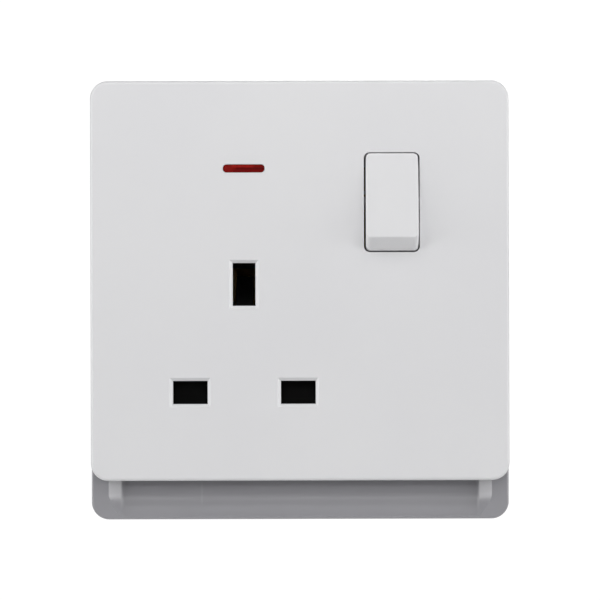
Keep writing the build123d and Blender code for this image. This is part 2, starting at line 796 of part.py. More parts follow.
# Contact strips on the housing's floor
half_strip = strip_width / 2
terminal_low = terminal_z - terminal_length / 2
with BuildPart() as neutral_strip:
    x = neutral_at[0]
    joint_top = neutral_joint_at[1] + lead_bend
    wall((x - half_strip, x + half_strip), (terminal_low, joint_top), (floor_h, strip_h))
    strip_holes(neutral_at, neutral_terminal_at)
neutral_strip.part.label = "neutral_strip"

with BuildPart() as earth_strip:
    earth_top = earth_z + earth_clip_width / 2
    wall((pin_x - half_strip, pin_x + half_strip), (terminal_low, earth_top), (floor_h, strip_h))
    strip_holes(earth_at, earth_terminal_at)
earth_strip.part.label = "earth_strip"

# Switch blade's pivot and the fixed contact's height follow from the rocker's plunger
blade_tilt = blade_swing / 2
contact_pivot_h = pivot_h - plunger_reach - plunger_clear - blade_to_pivot
tip_back_v = blade_to_pivot - blade_wall - tip_wall
tip_edge = (tip_arm + tip_radius) * sin(radians(blade_tilt))
fixed_tip_h = contact_pivot_h - tip_edge + tip_back_v * cos(radians(blade_tilt)) - tip_gap
shelf_h = fixed_tip_h - tip_wall

with BuildPart() as live_strip:
    x = live_at[0]
    band_top = contact_z + half_strip
    clip_low = line_z - clip_base / 2 - clip_wall
    wall((x - half_strip, x + half_strip), (clip_low, band_top), (floor_h, strip_h))
    wall((x - half_strip, switch_x + half_strip), (contact_z - half_strip, band_top), (floor_h, strip_h))
    # Upright leg and shelf that carry the fixed tip
    shelf_x = (switch_x - half_strip, switch_x + half_strip)
    wall(shelf_x, (band_top - strip_wall, band_top), (floor_h, shelf_h))
    wall(shelf_x, (contact_z - tip_radius, band_top), (shelf_h - strip_wall, shelf_h))
    strip_holes(live_at, None)
live_strip.part.label = "live_strip"

with BuildPart() as switch_bridge:
    x = live_terminal_x
    bridge_top = switch_z + half_strip
    wall((x - half_strip, x + half_strip), (terminal_low, bridge_top), (floor_h, strip_h))
    wall((x - half_strip, switch_x + web_length / 2), (switch_z - half_strip, bridge_top), (floor_h, strip_h))
    # Web that carries the blade's pivot pin
    web_top_h = contact_pivot_h + blade_to_pivot - blade_wall - web_play
    block(switch_at, (web_wall, web_length), (floor_h, web_top_h))
    with BuildSketch(side_view(switch_at, contact_pivot_h).offset(-web_wall / 2)):
        Circle(pin_radius + rivet_play)
    extrude(amount=web_wall, mode=Mode.SUBTRACT)
    strip_holes(None, live_terminal_at)
switch_bridge.part.label = "switch_bridge"

# Moving contact, drawn square and placed at the off tilt
blade_plane = side_view(switch_at, contact_pivot_h, blade_tilt)
blade_face = Plane(blade_plane.origin, x_dir=(1, 0, 0), z_dir=blade_plane.y_dir)
with BuildPart() as moving_contact:
    with BuildSketch(blade_face.offset(blade_to_pivot - blade_wall)):
        RectangleRounded(blade_width, 2 * blade_half_length, blade_width / 4)
    extrude(amount=blade_wall)
    for start in (-blade_width / 2, blade_width / 2 - blade_wall):
        with BuildSketch(blade_plane.offset(start)):
            ear_mid, ear_height = span(-ear_reach, blade_to_pivot - blade_wall / 2)
            with Locations((0, ear_mid)):
                Rectangle(2 * ear_half_length, ear_height)
            Circle(pin_radius + pin_play, mode=Mode.SUBTRACT)
        extrude(amount=blade_wall)
moving_contact.part.label = "moving_contact"

with BuildPart() as moving_tip:
    with BuildSketch(blade_face.offset(tip_back_v)):
        with Locations((0, tip_arm)):
            Circle(tip_radius)
    extrude(amount=tip_wall)
moving_tip.part.label = "moving_tip"

with BuildPart() as fixed_tip:
    post((switch_x, contact_z), tip_radius, (shelf_h, fixed_tip_h))
fixed_tip.part.label = "fixed_tip"

with BuildPart() as contact_pivot_pin:
    along_x(switch_at, contact_pivot_h, pin_radius, blade_width + 2 * pin_overhang)
contact_pivot_pin.part.label = "contact_pivot_pin"


def clip(sketch_plane, at_x, width, mouth_h, throat_h):
    """Sprung U-shaped clip: a folded strip drawn in section and drawn out to its width."""
    base_h = strip_h + clip_wall / 2
    right = (
        (clip_base / 2, base_h),
        (clip_base / 2, base_h + clip_straight),
        (clip_throat / 2 + clip_wall / 2, throat_h),
        (clip_mouth / 2 + clip_wall / 2, mouth_h),
    )
    left = tuple((-x, h) for x, h in reversed(right))
    with BuildPart() as folded:
        with BuildSketch(sketch_plane):
            with BuildLine():
                FilletPolyline(*[(x, h) for x, h in left + right], radius=clip_wall)
            trace(line_width=clip_wall)
        extrude(amount=width / 2, both=True)
        post(at_x, rivet_radius + rivet_play, (floor_h, strip_h + 2 * clip_wall), Mode.SUBTRACT)
    return folded.part


line_mouth_h = face_h - line_clip_mouth_depth
line_throat_h = face_h - line_clip_throat_depth
neutral_clip = clip(
    Plane((neutral_at[0], 0, line_z), x_dir=(0, 0, 1), z_dir=(1, 0, 0)),
    neutral_at,
    line_clip_width,
    line_mouth_h,
    line_throat_h,
)
neutral_clip.label = "neutral_clip"
live_clip = clip(
    Plane((live_at[0], 0, line_z), x_dir=(0, 0, 1), z_dir=(1, 0, 0)),
    live_at,
    line_clip_width,
    line_mouth_h,
    line_throat_h,
)
live_clip.label = "live_clip"
earth_clip = clip(
    Plane((pin_x, 0, earth_z), x_dir=(-1, 0, 0), z_dir=(0, 0, 1)),
    earth_at,
    earth_clip_width,
    face_h - earth_clip_mouth_depth,
    face_h - earth_clip_throat_depth,
)
earth_clip.label = "earth_clip"

with BuildPart() as clip_rivets:
    for at in (neutral_at, live_at, earth_at):
        post(at, rivet_radius, (floor_h, strip_h + clip_wall))
        post(at, rivet_head_radius, (strip_h + clip_wall, strip_h + clip_wall + rivet_head_height))
clip_rivets.part.label = "clip_rivets"


def terminal(at):
    """Brass block with a wire bore from below and a screw hole from behind."""
    with BuildPart() as brass:
        block(at, (terminal_width, terminal_length), (strip_h, strip_h + terminal_height))
        chamfer(brass.edges().filter_by(Axis.Z), terminal_chamfer)
        with BuildSketch(Plane.XY.offset(terminal_low)) as bore:
            with Locations((at[0], -wire_h)):
                Circle(wire_radius)
        extrude(bore.sketch, amount=terminal_length, mode=Mode.SUBTRACT)
        post(at, terminal_screw_radius + screw_play, (strip_h, wire_h), Mode.SUBTRACT)
    return brass.part


neutral_terminal = terminal(neutral_terminal_at)
neutral_terminal.label = "neutral_terminal"
earth_terminal = terminal(earth_terminal_at)
earth_terminal.label = "earth_terminal"
live_terminal = terminal(live_terminal_at)
live_terminal.label = "live_terminal"

with BuildPart() as terminal_screws:
    for at in terminals_at:
        head_low_h = screw_head_play - housing_depth
        head_high_h = head_low_h + terminal_head_height
        post(at, terminal_head_radius, (head_low_h, head_high_h))
        post(at, terminal_screw_radius, (head_high_h, wire_h - wire_radius - tip_clear))
        slot_size = (2 * terminal_head_radius, driver_slot_width)
        block(at, slot_size, (head_low_h, head_low_h + driver_slot_depth), Mode.SUBTRACT)
terminal_screws.part.label = "terminal_screws"

os.makedirs("parts", exist_ok=True)
for piece in (
    front_cover.part,
    mounting_frame.part,
    rear_housing.part,
    housing_screws.part,
    rocker.part,
    rocker_plunger.part,
    rocker_spring,
    moving_contact.part,
    moving_tip.part,
    fixed_tip.part,
    contact_pivot_pin.part,
    switch_bridge.part,
    live_strip.part,
    neutral_strip.part,
    earth_strip.part,
    live_clip,
    neutral_clip,
    earth_clip,
    clip_rivets.part,
    live_terminal,
    neutral_terminal,
    earth_terminal,
    terminal_screws.part,
    shutter.part,
    shutter_spring,
    neon_lens.part,
    neon_lamp.part,
    neon_resistor.part,
    neon_lead_neutral,
    neon_lead_link,
    neon_lead_live,
):
    export_step(piece, f"parts/{piece.label}.step")
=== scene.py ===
import math

import bmesh
import bpy
from mathutils import Matrix, Vector


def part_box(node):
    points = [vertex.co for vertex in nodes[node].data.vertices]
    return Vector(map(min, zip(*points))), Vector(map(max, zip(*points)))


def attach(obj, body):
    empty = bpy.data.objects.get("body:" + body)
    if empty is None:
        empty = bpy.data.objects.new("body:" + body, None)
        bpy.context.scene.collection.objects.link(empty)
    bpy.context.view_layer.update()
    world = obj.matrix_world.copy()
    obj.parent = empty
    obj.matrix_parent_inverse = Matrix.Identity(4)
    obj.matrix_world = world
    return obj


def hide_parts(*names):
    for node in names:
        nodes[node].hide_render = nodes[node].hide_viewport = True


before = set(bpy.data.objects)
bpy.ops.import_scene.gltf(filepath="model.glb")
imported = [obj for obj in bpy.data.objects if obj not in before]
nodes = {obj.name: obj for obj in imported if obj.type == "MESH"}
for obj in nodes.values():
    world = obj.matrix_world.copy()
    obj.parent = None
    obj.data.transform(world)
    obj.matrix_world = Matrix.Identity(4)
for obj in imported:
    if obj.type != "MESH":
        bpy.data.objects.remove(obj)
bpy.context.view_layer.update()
scene = bpy.context.scene

# Sizes in metres. X is to the right, Z is up and Y goes into the wall.
mm = 0.001
face_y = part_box("front_cover")[0].y

# Camera: straight at the plate, a little rolled
photo_width_px = 600
px_per_mm = 4.874
camera_distance = 600 * mm
camera_aim_x = 0.04 * mm
camera_aim_z = 0.07 * mm
camera_roll = 0.15
sensor_width = 36.0


def make_camera():
    """Camera square to the plate, with the photograph's scale at the cover's face."""
    view_width = photo_width_px / px_per_mm * mm
    lens = bpy.data.cameras.new("plate_camera")
    lens.sensor_width = sensor_width
    lens.lens = sensor_width * camera_distance / view_width
    lens.clip_start = 0.01
    camera = bpy.data.objects.new("plate_camera", lens)
    camera.location = (camera_aim_x, face_y - camera_distance, camera_aim_z)
    camera.rotation_euler = (math.radians(90), math.radians(camera_roll), 0)
    scene.collection.objects.link(camera)
    scene.camera = camera


# Studio: a white surround, soft boxes round the plate, and a pale floor well below
surround_seen = 1.05
surround_lit = 0.02
floor_drop = 180 * mm
floor_radius = 500 * mm
floor_steps = 96
floor_solid_share = 0.35
floor_clear_share = 0.98
floor_tone = 0.82
floor_rough = 0.8
floor_glow = 0.12

# Boxes over the plate: name, angle above the plate's axis, distance, width and height, power
overhead_boxes = (
    ("front_soft_box", 14, 0.90, (1.0, 0.14), 0.98),
    ("upper_soft_box", 36, 0.90, (1.0, 0.20), 0.40),
    ("overhead_soft_box", 54, 0.34, (0.5, 0.14), 0.50),
)

# Pairs of boxes at the sides: name, angle from the plate's axis, place up, width and height, power
side_boxes = (
    ("near_front_soft_box", 44, 0.35, (0.3, 0.4), 1.32),
    ("side_soft_box", 74, 0.0, (0.6, 0.3), 3.25),
)
side_distance = 0.9

# Box behind the plate: name, place, width and height, power
back_box = ("back_soft_box", (0.3, 0.95, 0.3), (0.7, 0.5), 7.0)


def node_of(tree, kind, **values):
    """New shader node with its own settings."""
    node = tree.nodes.new(kind)
    for name, value in values.items():
        setattr(node, name, value)
    return node


def smooth_range(tree, output, from_low, from_high, low, high):
    """An output spread smoothly from one range of values to another."""
    spread = node_of(tree, "ShaderNodeMapRange", interpolation_type="SMOOTHSTEP")
    spread.inputs["From Min"].default_value = from_low
    spread.inputs["From Max"].default_value = from_high
    spread.inputs["To Min"].default_value = low
    spread.inputs["To Max"].default_value = high
    tree.links.new(output, spread.inputs["Value"])
    return spread.outputs["Result"]


def colour_mix(tree):
    """Mix node for colours: its share, its two colours and its result."""
    mix = node_of(tree, "ShaderNodeMix", data_type="RGBA")
    return mix.inputs[0], mix.inputs[6], mix.inputs[7], mix.outputs[2]


def soft_box(name, place, size, power):
    """Rectangular soft light aimed at the middle of the plate."""
    lamp = bpy.data.lights.new(name, "AREA")
    lamp.shape = "RECTANGLE"
    lamp.size, lamp.size_y = size
    lamp.energy = power
    box = bpy.data.objects.new(name, lamp)
    box.location = place
    box.rotation_euler = (-Vector(place)).to_track_quat("-Z", "Y").to_euler()
    scene.collection.objects.link(box)


def overhead_box(name, angle, distance, size, power):
    """Soft light on the plate's middle line, in front of it and above."""
    turn = math.radians(angle)
    soft_box(name, (0, -distance * math.cos(turn), distance * math.sin(turn)), size, power)


def side_pair(name, angle, up, size, power):
    """Soft lights to the left and right of the plate, at one angle from its axis."""
    turn = math.radians(angle)
    for side, word in ((-1, "left_"), (1, "right_")):
        place = (side * side_distance * math.sin(turn), -side_distance * math.cos(turn), up)
        soft_box(word + name, place, size, power)


def make_surround():
    """White surround: bright where the camera sees it, and only a faint light."""
    world = bpy.data.worlds.new("white_surround")
    world.use_nodes = True
    tree = world.node_tree
    tree.nodes.clear()
    path = node_of(tree, "ShaderNodeLightPath")
    pick = node_of(tree, "ShaderNodeMixShader")
    out = node_of(tree, "ShaderNodeOutputWorld")
    tree.links.new(path.outputs["Is Camera Ray"], pick.inputs[0])
    for socket, strength in ((pick.inputs[1], surround_lit), (pick.inputs[2], surround_seen)):
        white = node_of(tree, "ShaderNodeBackground")
        white.inputs["Color"].default_value = (1, 1, 1, 1)
        white.inputs["Strength"].default_value = strength
        tree.links.new(white.outputs[0], socket)
    tree.links.new(pick.outputs[0], out.inputs["Surface"])
    scene.world = world


def make_floor():
    """Pale round floor that fades into the surround before its edge. Its underside is clear."""
    bm = bmesh.new()
    bmesh.ops.create_circle(bm, cap_ends=True, radius=floor_radius, segments=floor_steps)
    bmesh.ops.translate(bm, verts=bm.verts, vec=(0, 0, -floor_drop))
    mesh = bpy.data.meshes.new("studio_floor")
    bm.to_mesh(mesh)
    bm.free()
    floor = bpy.data.objects.new("studio_floor", mesh)
    scene.collection.objects.link(floor)
    material = bpy.data.materials.new("pale_floor")
    material.use_nodes = True
    tree = material.node_tree
    shader = tree.nodes["Principled BSDF"]
    shader.inputs["Base Color"].default_value = grey(floor_tone)
    shader.inputs["Roughness"].default_value = floor_rough
    shader.inputs["Emission Color"].default_value = (1, 1, 1, 1)
    shader.inputs["Emission Strength"].default_value = floor_glow
    place = node_of(tree, "ShaderNodeTexCoord")
    flat = node_of(tree, "ShaderNodeVectorMath", operation="MULTIPLY")
    flat.inputs[1].default_value = (1, 1, 0)
    reach = node_of(tree, "ShaderNodeVectorMath", operation="LENGTH")
    tree.links.new(place.outputs["Object"], flat.inputs[0])
    tree.links.new(flat.outputs[0], reach.inputs[0])
    fade = smooth_range(
        tree, reach.outputs["Value"], floor_radius * floor_solid_share, floor_radius * floor_clear_share, 1, 0)
    side = node_of(tree, "ShaderNodeNewGeometry")
    seen = node_of(tree, "ShaderNodeMath", operation="SUBTRACT", use_clamp=True)
    tree.links.new(fade, seen.inputs[0])
    tree.links.new(side.outputs["Backfacing"], seen.inputs[1])
    tree.links.new(seen.outputs[0], shader.inputs["Alpha"])
    mesh.materials.append(material)


# Shared surface effects


def new_group(name, inputs, outputs):
    """Shader node group with named sockets, its input node and its output node."""
    group = bpy.data.node_groups.new(name, "ShaderNodeTree")
    for label, kind in inputs:
        group.interface.new_socket(label, in_out="INPUT", socket_type="NodeSocket" + kind)
    for label, kind in outputs:
        group.interface.new_socket(label, in_out="OUTPUT", socket_type="NodeSocket" + kind)
    return group, group.nodes.new("NodeGroupInput"), group.nodes.new("NodeGroupOutput")


def noise_of(tree, detail):
    """Noise texture with its detail set."""
    noise = node_of(tree, "ShaderNodeTexNoise")
    noise.inputs["Detail"].default_value = detail
    return noise


def make_mould_grain():
    """Fine moulded texture for bump, and slow patches that change the sheen."""
    group, given, made = new_group(
        "mould_grain",
        (("Place", "Vector"), ("Fineness", "Float"), ("Patches", "Float")),
        (("Height", "Float"), ("Sheen", "Float")),
    )
    grain = noise_of(group, 2)
    patch = noise_of(group, 1)
    for noise, scale in ((grain, "Fineness"), (patch, "Patches")):
        group.links.new(given.outputs["Place"], noise.inputs["Vector"])
        group.links.new(given.outputs[scale], noise.inputs["Scale"])
    group.links.new(grain.outputs["Fac"], made.inputs["Height"])
    group.links.new(patch.outputs["Fac"], made.inputs["Sheen"])
    return group


def make_tone_drift():
    """Slow drift between two tones of one colour."""
    group, given, made = new_group(
        "tone_drift",
        (("Place", "Vector"), ("Spread", "Float"), ("Tone", "Color"), ("Other Tone", "Color")),
        (("Colour", "Color"),),
    )
    drift = noise_of(group, 3)
    group.links.new(given.outputs["Place"], drift.inputs["Vector"])
    group.links.new(given.outputs["Spread"], drift.inputs["Scale"])
    share, first, second, result = colour_mix(group)
    group.links.new(smooth_range(group, drift.outputs["Fac"], 0.32, 0.68, 0, 1), share)
    group.links.new(given.outputs["Tone"], first)
    group.links.new(given.outputs["Other Tone"], second)
    group.links.new(result, made.inputs["Colour"])
    return group


def make_drawn_lines():
    """Fine lines drawn out along one way, as rolling or turning leaves on metal."""
    group, given, made = new_group(
        "drawn_lines",
        (("Place", "Vector"), ("Stretch", "Vector"), ("Fineness", "Float")),
        (("Height", "Float"),),
    )
    pull = node_of(group, "ShaderNodeVectorMath", operation="MULTIPLY")
    lines = noise_of(group, 3)
    group.links.new(given.outputs["Place"], pull.inputs[0])
    group.links.new(given.outputs["Stretch"], pull.inputs[1])
    group.links.new(pull.outputs[0], lines.inputs["Vector"])
    group.links.new(given.outputs["Fineness"], lines.inputs["Scale"])
    group.links.new(lines.outputs["Fac"], made.inputs["Height"])
    return group


mould_grain = make_mould_grain()
tone_drift = make_tone_drift()
drawn_lines = make_drawn_lines()


class Finish:
    """One material while it is being put together: its node tree, shader and object place."""

    def __init__(self, name):
        self.material = bpy.data.materials.new(name)
        self.material.use_nodes = True
        self.tree = self.material.node_tree
        self.shader = self.tree.nodes["Principled BSDF"]
        self.place = node_of(self.tree, "ShaderNodeTexCoord").outputs["Object"]

    def set(self, **values):
        """Plain values on the shader's own sockets."""
        for name, value in values.items():
            socket = name.replace("_", " ").title().replace("Ior", "IOR")
            self.shader.inputs[socket].default_value = value

    def feed(self, output, socket):
        """An output linked to one of the shader's sockets."""
        self.tree.links.new(output, self.shader.inputs[socket])

    def effect(self, group, **values):
        """Shared effect placed in this material with its own values."""
        node = node_of(self.tree, "ShaderNodeGroup", node_tree=group)
        self.tree.links.new(self.place, node.inputs["Place"])
        for name, value in values.items():
            node.inputs[name.replace("_", " ").title()].default_value = value
        return node

    def ranged(self, output, low, high):
        """The middle range of a noise spread smoothly between two values."""
        return smooth_range(self.tree, output, 0.2, 0.8, low, high)

    def bump(self, height, depth, strength):
        """Bump from a height that varies over the surface."""
        bump = node_of(self.tree, "ShaderNodeBump")
        bump.inputs["Strength"].default_value = strength
        bump.inputs["Distance"].default_value = depth
        self.tree.links.new(height, bump.inputs["Height"])
        self.feed(bump.outputs["Normal"], "Normal")

    def mixed(self, share, first, second):
        """Two colours mixed by a share. Each is a socket or a plain colour."""
        mix_share, mix_first, mix_second, result = colour_mix(self.tree)
        self.tree.links.new(share, mix_share)
        for socket, colour in ((mix_first, first), (mix_second, second)):
            if isinstance(colour, tuple):
                socket.default_value = colour
            else:
                self.tree.links.new(colour, socket)
        return result

    def axis(self, name):
        """One of the place's own coordinates."""
        split = node_of(self.tree, "ShaderNodeSeparateXYZ")
        self.tree.links.new(self.place, split.inputs[0])
        return split.outputs[name]

    def band(self, output, middle, half, soft):
        """Mask that is 1 within half of a middle and falls to 0 over a soft edge."""
        away = node_of(self.tree, "ShaderNodeMath", operation="SUBTRACT")
        away.inputs[1].default_value = middle
        self.tree.links.new(output, away.inputs[0])
        size = node_of(self.tree, "ShaderNodeMath", operation="ABSOLUTE")
        self.tree.links.new(away.outputs[0], size.inputs[0])
        return smooth_range(self.tree, size.outputs[0], half - soft / 2, half + soft / 2, 1, 0)

    def times(self, first, second):
        """Product of two outputs, or of an output and a number."""
        product = node_of(self.tree, "ShaderNodeMath", operation="MULTIPLY")
        self.tree.links.new(first, product.inputs[0])
        if isinstance(second, (int, float)):
            product.inputs[1].default_value = second
        else:
            self.tree.links.new(second, product.inputs[1])
        return product.outputs[0]


# Finishes: the size of their slow patches, and how strong their bump is
plastic_sheen_patch = 14 * mm
plastic_tone_patch = 30 * mm
plastic_bump = 0.35
metal_tone_patch = 3 * mm
metal_bump = 0.4


def moulded_plastic(name, tone, other_tone, rough, grain_size, grain_depth):
    """Moulded plastic: a slow drift of tone, an uneven sheen and a fine surface grain."""
    finish = Finish(name)
    grain = finish.effect(mould_grain, fineness=1 / grain_size, patches=1 / plastic_sheen_patch)
    drift = finish.effect(tone_drift, spread=1 / plastic_tone_patch, tone=tone, other_tone=other_tone)
    finish.feed(drift.outputs["Colour"], "Base Color")
    finish.feed(finish.ranged(grain.outputs["Sheen"], *rough), "Roughness")
    finish.bump(grain.outputs["Height"], grain_depth, plastic_bump)
    finish.drift = drift.outputs["Colour"]
    return finish


def metal(name, tone, other_tone, rough, stretch, line_size, line_depth):
    """Metal with drawn lines and a patchy tone."""
    finish = Finish(name)
    lines = finish.effect(drawn_lines, stretch=stretch, fineness=1 / line_size)
    drift = finish.effect(tone_drift, spread=1 / metal_tone_patch, tone=tone, other_tone=other_tone)
    finish.feed(drift.outputs["Colour"], "Base Color")
    finish.feed(finish.ranged(lines.outputs["Height"], *rough), "Roughness")
    finish.set(metallic=1.0)
    finish.bump(lines.outputs["Height"], line_depth, metal_bump)
    return finish


# Faint moulding line down the scoop of the frame
moulding_line_x = -20.35 * mm
moulding_line_z = -39.8 * mm
moulding_line_half_length = 2.2 * mm
moulding_line_half_width = 0.15 * mm
moulding_line_tone = (0.40, 0.397, 0.42, 1)
moulding_line_share = 0.5


def add_moulding_line(finish):
    """Paler hairline, soft on both sides, over a moulded plastic's own tone."""
    line = finish.times(
        finish.band(finish.axis("X"), moulding_line_x, moulding_line_half_width, 0.3 * mm),
        finish.band(finish.axis("Z"), moulding_line_z, moulding_line_half_length, 1.2 * mm),
    )
    share = finish.times(line, moulding_line_share)
    finish.feed(finish.mixed(share, finish.drift, moulding_line_tone), "Base Color")


def grey(level, blue=1.0):
    """Grey colour, with its blue raised a little where asked."""
    return (level, level, level * blue, 1)


white_cover = moulded_plastic(
    "white_cover_plastic", grey(0.80, 1.015), grey(0.785, 1.02),
    rough=(0.34, 0.42), grain_size=0.16 * mm, grain_depth=0.004 * mm)
white_rocker = moulded_plastic(
    "white_rocker_plastic", grey(0.80, 1.012), grey(0.79, 1.018),
    rough=(0.3, 0.34), grain_size=0.2 * mm, grain_depth=0.002 * mm)
grey_frame = moulded_plastic(
    "grey_frame_plastic", (0.331, 0.328, 0.349, 1), (0.319, 0.316, 0.337, 1),
    rough=(0.29, 0.35), grain_size=0.18 * mm, grain_depth=0.003 * mm)
grey_frame.set(specular_ior_level=0.9)
add_moulding_line(grey_frame)
housing = moulded_plastic(
    "housing_plastic", (0.70, 0.70, 0.67, 1), (0.66, 0.66, 0.63, 1),
    rough=(0.42, 0.55), grain_size=0.22 * mm, grain_depth=0.008 * mm)
# Shutter behind the pin holes: black plastic, made darker still as painted shade in the holes
shutter_black_painted_shade = moulded_plastic(
    "shutter_black_plastic_painted_shade", grey(0.007), grey(0.005),
    rough=(0.42, 0.55), grain_size=0.2 * mm, grain_depth=0.005 * mm)
shutter_black_painted_shade.set(specular_ior_level=0.12)
nylon = moulded_plastic(
    "natural_nylon", (0.78, 0.75, 0.66, 1), (0.72, 0.68, 0.58, 1),
    rough=(0.35, 0.45), grain_size=0.3 * mm, grain_depth=0.003 * mm)
sleeve = moulded_plastic(
    "lead_sleeve", (0.72, 0.69, 0.58, 1), (0.66, 0.62, 0.5, 1),
    rough=(0.45, 0.55), grain_size=0.15 * mm, grain_depth=0.003 * mm)
strip_brass = metal(
    "rolled_brass", (0.66, 0.47, 0.20, 1), (0.52, 0.35, 0.14, 1),
    rough=(0.3, 0.45), stretch=(1, 1, 0.05), line_size=0.12 * mm, line_depth=0.002 * mm)
turned_brass = metal(
    "turned_brass", (0.70, 0.51, 0.23, 1), (0.58, 0.40, 0.17, 1),
    rough=(0.25, 0.4), stretch=(0.06, 1, 1), line_size=0.1 * mm, line_depth=0.002 * mm)
zinc_steel = metal(
    "zinc_plated_steel", (0.62, 0.62, 0.60, 1), (0.50, 0.51, 0.52, 1),
    rough=(0.28, 0.42), stretch=(0.1, 1, 0.1), line_size=0.1 * mm, line_depth=0.002 * mm)
spring_steel = metal(
    "spring_steel", (0.50, 0.50, 0.50, 1), (0.38, 0.38, 0.40, 1),
    rough=(0.25, 0.4), stretch=(1, 1, 1), line_size=0.08 * mm, line_depth=0.001 * mm)
# Earth clip: dull brass, paler than the other brass; the lighter colour is a painted glint deep in the earth
# hole
earth_brass_painted_glint = metal(
    "dull_brass_painted_glint", (0.88, 0.62, 0.30, 1), (0.72, 0.50, 0.22, 1),
    rough=(0.5, 0.6), stretch=(1, 1, 0.05), line_size=0.12 * mm, line_depth=0.002 * mm)
earth_brass_painted_glint.set(metallic=0.2)
silver_tip = metal(
    "silver_tip", (0.80, 0.79, 0.75, 1), (0.66, 0.64, 0.58, 1),
    rough=(0.3, 0.45), stretch=(1, 1, 1), line_size=0.2 * mm, line_depth=0.003 * mm)


def make_lamp_glass():
    """Clear glass with a faint smoky bloom."""
    finish = Finish("lamp_glass")
    bloom = finish.effect(tone_drift, spread=1 / (2 * mm), tone=grey(0.98), other_tone=grey(0.86))
    finish.feed(bloom.outputs["Colour"], "Base Color")
    finish.set(roughness=0.04, transmission_weight=1.0, ior=1.48)
    return finish


# Red lens: its tones, with painted light and painted shade among them, and the size of its fine speckle
lens_red = (0.19, 0.006, 0.004, 1)
# Brighter red for painted light, and darker red for the speckle and for painted shade
lens_painted_light_red = (0.33, 0.013, 0.010, 1)
lens_speckle_and_painted_shade_red = (0.09, 0.001, 0.002, 1)
lens_speckle = 0.5 * mm


def make_red_lens():
    """Dark red lens, unlit, with painted light in its upper middle and at its left, and painted shade in its
    low band.
    """
    finish = Finish("red_lens")
    low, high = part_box("neon_lens")
    middle = (low + high) / 2
    x, z = finish.axis("X"), finish.axis("Z")
    # Painted light: brighter red across the upper middle of the lens
    upper = finish.times(
        finish.band(x, middle.x - 0.2 * mm, 2.2 * mm, 0.5 * mm),
        finish.band(z, middle.z + 0.55 * mm, 0.36 * mm, 0.3 * mm),
    )
    # Painted light: brighter red towards the left end
    left = finish.band(x, middle.x - 3.2 * mm, 0.9 * mm, 0.8 * mm)
    # Painted shade: darker red along the low band
    painted_shade_low_band = finish.times(
        finish.band(x, middle.x + 1.3 * mm, 2.9 * mm, 0.3 * mm),
        finish.band(z, middle.z - 0.05 * mm, 0.22 * mm, 0.3 * mm),
    )
    speckle = noise_of(finish.tree, 2)
    speckle.inputs["Scale"].default_value = 1 / lens_speckle
    finish.tree.links.new(finish.place, speckle.inputs["Vector"])
    tone = finish.mixed(finish.times(left, 0.4), lens_red, lens_painted_light_red)
    tone = finish.mixed(upper, tone, lens_painted_light_red)
    tone = finish.mixed(finish.times(painted_shade_low_band, 0.8), tone, lens_speckle_and_painted_shade_red)
    tone = finish.mixed(finish.ranged(speckle.outputs["Fac"], 0.0, 0.4), tone, lens_speckle_and_painted_shade_red)
    finish.feed(tone, "Base Color")
    finish.feed(finish.ranged(speckle.outputs["Fac"], 0.12, 0.2), "Roughness")
    finish.set(specular_ior_level=0.3)
    return finish


# Rings of the resistor: share of its length and colour
resistor_rings = (
    (0.2, (0.45, 0.22, 0.02, 1)),
    (0.36, (0.02, 0.02, 0.02, 1)),
    (0.52, (0.5, 0.38, 0.02, 1)),
    (0.8, (0.5, 0.34, 0.12, 1)),
)
ring_half_width = 0.25 * mm


def make_resistor():
    """Lacquered resistor body with plain colour rings."""
    finish = Finish("resistor_lacquer")
    low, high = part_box("neon_resistor")
    x = finish.axis("X")
    drift = finish.effect(
        tone_drift, spread=1 / (1.5 * mm), tone=(0.62, 0.47, 0.27, 1), other_tone=(0.55, 0.40, 0.22, 1))
    tone = drift.outputs["Colour"]
    for share, colour in resistor_rings:
        middle = low.x + share * (high.x - low.x)
        tone = finish.mixed(finish.band(x, middle, ring_half_width, 0.06 * mm), tone, colour)
    finish.feed(tone, "Base Color")
    finish.set(roughness=0.3)
    return finish


lamp_glass = make_lamp_glass()
red_lens = make_red_lens()
resistor_lacquer = make_resistor()


# New pieces, each built in place and carried by a body of the frame


def put_in_order(items, place_of):
    """One order for a mesh's vertices or faces, since some operators list them differently each run."""
    for rank, item in enumerate(sorted(items, key=place_of)):
        item.index = rank
    items.sort()


def add_piece(name, bm, finish, body, *stands_for):
    """Object from a finished mesh, with its finish, that rides on a body."""
    bmesh.ops.recalc_face_normals(bm, faces=bm.faces)
    put_in_order(bm.verts, lambda vertex: vertex.co[:])
    put_in_order(bm.faces, lambda face: face.calc_center_median()[:])
    mesh = bpy.data.meshes.new(name)
    bm.to_mesh(mesh)
    bm.free()
    mesh.materials.append(finish.material)
    piece = bpy.data.objects.new(name, mesh)
    scene.collection.objects.link(piece)
    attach(piece, body)
    if stands_for:
        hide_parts(*stands_for)


def solid_boxes(node, gap=1 * mm):
    """Lowest and highest corner of each solid in a CAD node, split where there is a gap along X."""
    points = sorted((vertex.co for vertex in nodes[node].data.vertices), key=lambda point: point.x)
    groups = [points[:1]]
    for before, point in zip(points, points[1:]):
        if point.x - before.x > gap:
            groups.append([])
        groups[-1].append(point)
    return [(Vector(map(min, *group)), Vector(map(max, *group))) for group in groups]


# Slotted screws in the back: CAD node, height of the head and radius of the shank
screw_sets = (
    ("housing_screws", 1.5 * mm, 1.4 * mm),
    ("terminal_screws", 1.6 * mm, 1.75 * mm),
)
round_steps = 48
driver_slot = 0.8 * mm
driver_slot_depth = 0.7 * mm
head_rim = 0.3 * mm
head_rim_steps = 3
thread_pitch = 0.7 * mm
thread_depth = 0.25 * mm
thread_steps = 20


def new_of(kind, made):
    """The vertices, edges or faces among an operator's new geometry."""
    return [item for item in made["geom"] if isinstance(item, kind)]


